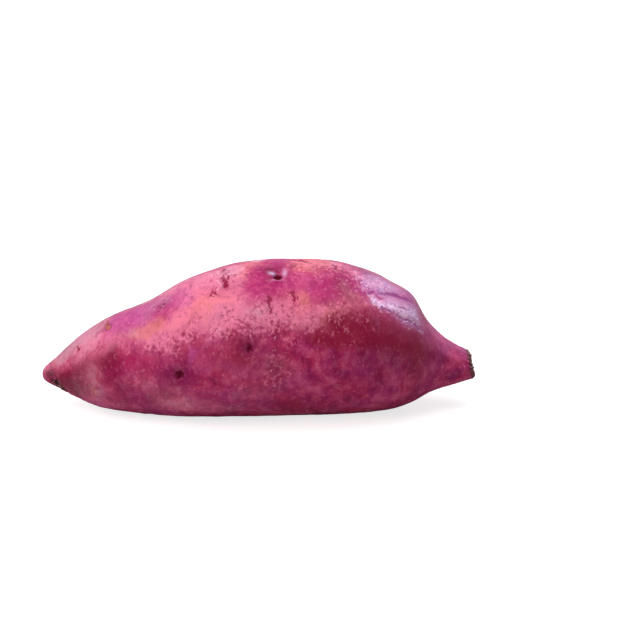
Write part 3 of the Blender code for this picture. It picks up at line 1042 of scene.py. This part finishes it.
# %% [markdown]
# ### Gloss
#
# The bare skin is a satin: rather rough, with a weak highlight tinted by the pigment under it. The wax is
# a coat over it, smooth enough to mirror a lamp softly, with a ragged edge, pitted by crumbs and open
# along the cracks and the folds. A fine bump breaks both highlights.

# %% Gloss and bump
satin = {0: summed((strokes, 0.5), (clouds, 0.5)), 1: 0.3, 2: 0.7, 3: 0.46, 4: 0.66}
tree.links.new(add(tree, "ShaderNodeMapRange", satin).outputs[0], surface.inputs["Roughness"])

wax = ragged("waxed", summed((streaks, 0.5), (crumbs, 0.5)), 3.2, 0.46, 0.54)
wax = past(crumbs, 0.68, 0.60, wax)
uncracked = add(tree, "ShaderNodeMath", {0: 1.0, 1: hatching}, operation="SUBTRACT").outputs[0]
for share in (mark["wax_share"], uncracked):
    wax = summed((wax, share))
wax = past(mark["fold"], 0.7, 0.2, wax)
tree.links.new(wax, surface.inputs["Coat Weight"])
surface.inputs["Coat Roughness"].default_value = 0.12
surface.inputs["Coat IOR"].default_value = 1.5
surface.inputs["IOR"].default_value = 1.45
surface.inputs["Specular IOR Level"].default_value = 0.2
surface.inputs["Specular Tint"].default_value = (1.0, 0.3, 0.55, 1.0)

relief = summed((strokes, 0.6), (grit, 0.4), (streaks, 0.8))
bump = add(tree, "ShaderNodeBump", {"Height": relief, "Strength": 0.6, "Distance": 0.25 * MM})
tree.links.new(bump.outputs[0], surface.inputs["Normal"])
coat_relief = summed((relief, 1.0), (lines, 1.5))
coat_bump = add(tree, "ShaderNodeBump", {"Height": coat_relief, "Strength": 0.4, "Distance": 0.2 * MM})
tree.links.new(coat_bump.outputs[0], surface.inputs["Coat Normal"])

skin.data.materials.clear()
skin.data.materials.append(skin_material)
print("skin material", len(tree.nodes), "nodes")

# %% [markdown]
# ## The studio
#
# A real set is lit until the white floor is nearly blown out and only a weak shadow is left. Here that
# much light on the floor would colour the root from below, so the floor is greyer than it looks, and a
# glow that only the camera sees makes up the rest. The world does the same.

# %% Floor and world
FLOOR_SIDE = 6.0
FLOOR_ALBEDO = 0.62
NEAR_GLOW = 0.74  # what the camera sees of the floor in deep shadow
FAR_GLOW = 1.0
GLOW_FROM, GLOW_TO = 0.2, 0.8  # distances from the root in metres over which the glow rises
WHITE = (1.0, 1.0, 1.0, 1.0)


def new_thing(name, shape):
    mesh = bpy.data.meshes.new(name)
    shape.to_mesh(mesh)
    shape.free()
    thing = bpy.data.objects.new(name, mesh)
    bpy.context.scene.collection.objects.link(thing)
    return thing


floor_shape = bmesh.new()
bmesh.ops.create_grid(floor_shape, x_segments=1, y_segments=1, size=FLOOR_SIDE / 2)
floor = new_thing("floor", floor_shape)
floor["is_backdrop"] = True
floor_material, floor_tree, floor_surface = new_material("white_paper_sweep")
seen = add(floor_tree, "ShaderNodeLightPath").outputs["Is Camera Ray"]
floor_place = add(floor_tree, "ShaderNodeTexCoord").outputs["Object"]
away = add(floor_tree, "ShaderNodeVectorMath", {0: floor_place}, operation="LENGTH").outputs["Value"]
rising = add(floor_tree, "ShaderNodeMapRange", {0: away, 1: GLOW_FROM, 2: GLOW_TO, 3: NEAR_GLOW, 4: FAR_GLOW})
glow = add(floor_tree, "ShaderNodeMath", {0: seen, 1: rising.outputs[0]}, operation="MULTIPLY")
floor_surface.inputs["Base Color"].default_value = (FLOOR_ALBEDO, FLOOR_ALBEDO, FLOOR_ALBEDO, 1.0)
floor_surface.inputs["Roughness"].default_value = 1.0
floor_surface.inputs["Specular IOR Level"].default_value = 0.0
floor_surface.inputs["Emission Color"].default_value = WHITE
floor_tree.links.new(glow.outputs[0], floor_surface.inputs["Emission Strength"])
floor.data.materials.append(floor_material)

WORLD_FILL = 0.15
world = bpy.data.worlds.new("studio")
world.use_nodes = True
bpy.context.scene.world = world
world_tree = world.node_tree
background = world_tree.nodes["Background"]
camera_ray = add(world_tree, "ShaderNodeLightPath").outputs["Is Camera Ray"]
brightness = add(world_tree, "ShaderNodeMapRange", {0: camera_ray, 3: WORLD_FILL, 4: 1.0})
background.inputs["Color"].default_value = WHITE
world_tree.links.new(brightness.outputs[0], background.inputs["Strength"])
print("floor", FLOOR_SIDE, "m, world fill", WORLD_FILL)

# %% [markdown]
# ### Lights
#
# A large box at the front left is the key, and a wide box overhead brightens the top and lets the side
# fall off. A low panel behind puts the pale rim on the crest. Large boxes close by give soft shadows. A
# sun or a spot would give hard ones.

# %% Lights
ROOT_MIDDLE = Vector((0.0, 0.0, 0.03))


def soft_box(name, direction, far, size, radiance, colour):
    """A rectangular area light that faces the root, as bright as radiance all over."""
    data = bpy.data.lights.new(name, "AREA")
    data.shape = "RECTANGLE"
    data.size, data.size_y = size
    data.energy = radiance * math.pi * size[0] * size[1]
    data.color = colour
    light = bpy.data.objects.new(name, data)
    toward = Vector(direction).normalized()
    light.location = ROOT_MIDDLE + far * toward
    light.rotation_euler = toward.to_track_quat("Z", "Y").to_euler()
    light.visible_camera = False
    bpy.context.scene.collection.objects.link(light)
    print(name, round(data.energy, 2), "W")


soft_box("key_box", (-0.52, -0.45, 0.68), 0.9, (0.9, 0.9), 2.4, (1.0, 0.98, 0.96))
soft_box("top_box", (0.0, 0.05, 1.0), 0.9, (1.2, 0.7), 2.0, (1.0, 0.98, 0.97))
soft_box("rim_panel", (0.0, 1.0, 0.22), 1.3, (1.8, 0.5), 1.5, (0.95, 0.97, 1.0))

# %% [markdown]
# ### The card in the gloss
#
# The broad violet highlight on the stem shoulder mirrors something bright and cool, high up behind the
# right side. A lamp there would also light the bare skin, so it is a card that only glossy rays see. It
# gets dimmer towards its far end, and so does the highlight.

# %% Gloss card
GLOSS_CORNER = Vector((0.475, -0.09, 0.79))  # where the card's outline is measured from
GLOSS_BACK = Vector((-0.24, 0.89, -0.39))  # along its left edge
GLOSS_SIDE = Vector((0.76, -0.07, -0.65))  # across it
GLOSS_OUTLINE = ((-0.15, -0.10), (-0.15, 0.55), (1.30, 0.55), (1.30, -0.10))  # metres back and across
GLOSS_COLOUR = (0.66, 0.71, 1.0, 1.0)
NEAR_RADIANCE = 17.0
FALL = 0.50  # metres over which the card gets dimmer by a factor of e
BLACK = (0.0, 0.0, 0.0, 1.0)

card_shape = bmesh.new()
corners = []
for back, side in GLOSS_OUTLINE:
    corners.append(card_shape.verts.new(GLOSS_CORNER + back * GLOSS_BACK + side * GLOSS_SIDE))
card_shape.faces.new(corners)
card = new_thing("gloss_card", card_shape)
card.visible_camera = False
card.visible_diffuse = False
card.visible_shadow = False
card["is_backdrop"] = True

card_material, card_tree, card_surface = new_material("lit_gloss_card")
card_place = add(card_tree, "ShaderNodeTexCoord").outputs["Object"]
offset = {0: card_place, 1: GLOSS_CORNER}
from_corner = add(card_tree, "ShaderNodeVectorMath", offset, operation="SUBTRACT").outputs[0]
offset = {0: from_corner, 1: GLOSS_BACK}
back = add(card_tree, "ShaderNodeVectorMath", offset, operation="DOT_PRODUCT").outputs["Value"]
scaled = add(card_tree, "ShaderNodeMath", {0: back, 1: -1.0 / FALL}, operation="MULTIPLY").outputs[0]
faded = add(card_tree, "ShaderNodeMath", {0: math.e, 1: scaled}, operation="POWER").outputs[0]
radiance = add(card_tree, "ShaderNodeMath", {0: faded, 1: NEAR_RADIANCE}, operation="MULTIPLY").outputs[0]
card_surface.inputs["Base Color"].default_value = BLACK
card_surface.inputs["Specular IOR Level"].default_value = 0.0
card_surface.inputs["Emission Color"].default_value = GLOSS_COLOUR
card_tree.links.new(radiance, card_surface.inputs["Emission Strength"])
card.data.materials.append(card_material)
print("card", len(corners), "corners")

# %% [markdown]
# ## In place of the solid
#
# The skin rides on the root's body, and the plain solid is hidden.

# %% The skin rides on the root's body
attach(skin, "root")
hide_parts("sweet_potato")

# %% Sizes, for comparison with the plain solid
new_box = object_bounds()
for name, (low, high) in (("cad", cad_box), ("now", new_box)):
    print(name, [round(v, 4) for v in high - low])
